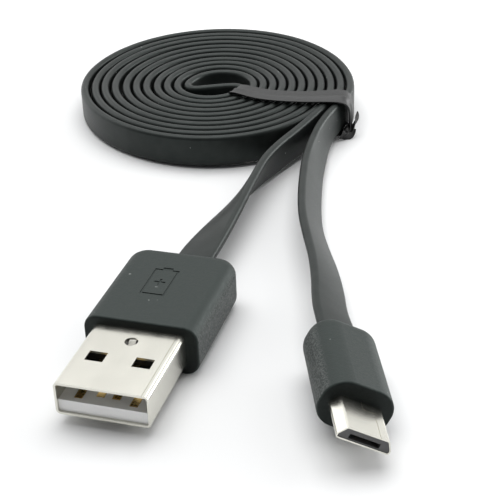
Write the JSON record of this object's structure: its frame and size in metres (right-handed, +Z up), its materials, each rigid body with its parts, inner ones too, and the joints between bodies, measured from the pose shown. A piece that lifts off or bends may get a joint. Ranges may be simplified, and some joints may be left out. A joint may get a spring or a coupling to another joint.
{
  "type": "charging cable",
  "caption": "Flat charging cable wound in a spiral and held by a twist tie, with a USB-A plug on one lead and a micro-B plug on the other.",
  "frame": {"origin": "centre of the flat underside of the USB-A plug's overmold, on the surface that the cable lies on", "axes": "+Z up, +Y from the USB-A plug back along its lead to the coil, +X to the right of that plug"},
  "size_m": [0.0742, 0.117, 0.008],
  "materials": {
    "nickel_shell": "satin nickel plate",
    "white_insulator": "moulded, semi-gloss",
    "gold_contact": "gold flash",
    "dark_insulator": "moulded, matte",
    "spring_steel": "bright",
    "inner_mold": "natural, unpolished",
    "overmold": "fine grained matte",
    "cable_jacket": "smooth, soft sheen",
    "wire_red": "smooth",
    "wire_white": "smooth",
    "wire_green": "smooth",
    "wire_black": "smooth",
    "tie_plastic": "satin film",
    "tie_wire": "annealed"
  },
  "bodies": {
    "root": {"usb_a_shell": "nickel_shell", "usb_a_insulator": "white_insulator", "usb_a_inner_mold": "inner_mold", "usb_a_overmold": "overmold", "usb_a_contact_1": "gold_contact", "usb_a_contact_2": "gold_contact", "usb_a_contact_3": "gold_contact", "usb_a_contact_4": "gold_contact", "usb_a_wire_red": "wire_red", "micro_wire_red": "wire_red", "usb_a_wire_white": "wire_white", "micro_wire_white": "wire_white", "usb_a_wire_green": "wire_green", "micro_wire_green": "wire_green", "usb_a_wire_black": "wire_black", "micro_wire_black": "wire_black", "micro_shell": "nickel_shell", "micro_insulator": "dark_insulator", "micro_contact_tails": "gold_contact", "micro_latch_anchors": "spring_steel", "micro_inner_mold": "inner_mold", "micro_overmold": "overmold", "cable_coil": "cable_jacket", "cable_lead_usb_a": "cable_jacket", "cable_lead_micro": "cable_jacket", "twist_tie_strap": "tie_plastic", "twist_tie_wire": "tie_wire", "twist_tie_ends": "tie_plastic"},
    "micro_contacts": {"micro_contact_springs": "gold_contact"},
    "latch_left": {"micro_latch_left": "spring_steel"},
    "latch_right": {"micro_latch_right": "spring_steel"}
  },
  "joints": [
    {"name": "contact_lift", "type": "hinge", "parent": "root", "child": "micro_contacts", "pos_m": [0.02858, -0.01507, 0.00429], "axis": [-0.8196, -0.3195, 0.4756], "range_deg": [0, 2.4], "stiffness_Nm_per_rad": 0.1, "springref_deg": -0.57},
    {"name": "latch_left_press", "type": "hinge", "parent": "root", "child": "latch_left", "pos_m": [0.02619, -0.01546, 0.00505], "axis": [-0.8196, -0.3195, 0.4756], "range_deg": [0, 3.9], "stiffness_Nm_per_rad": 0.08, "springref_deg": -0.57},
    {"name": "latch_right_press", "type": "hinge", "parent": "root", "child": "latch_right", "pos_m": [0.0302, -0.0139, 0.00272], "axis": [-0.8196, -0.3195, 0.4756], "range_deg": [0, 3.9], "stiffness_Nm_per_rad": 0.08, "springref_deg": -0.57}
  ]
}
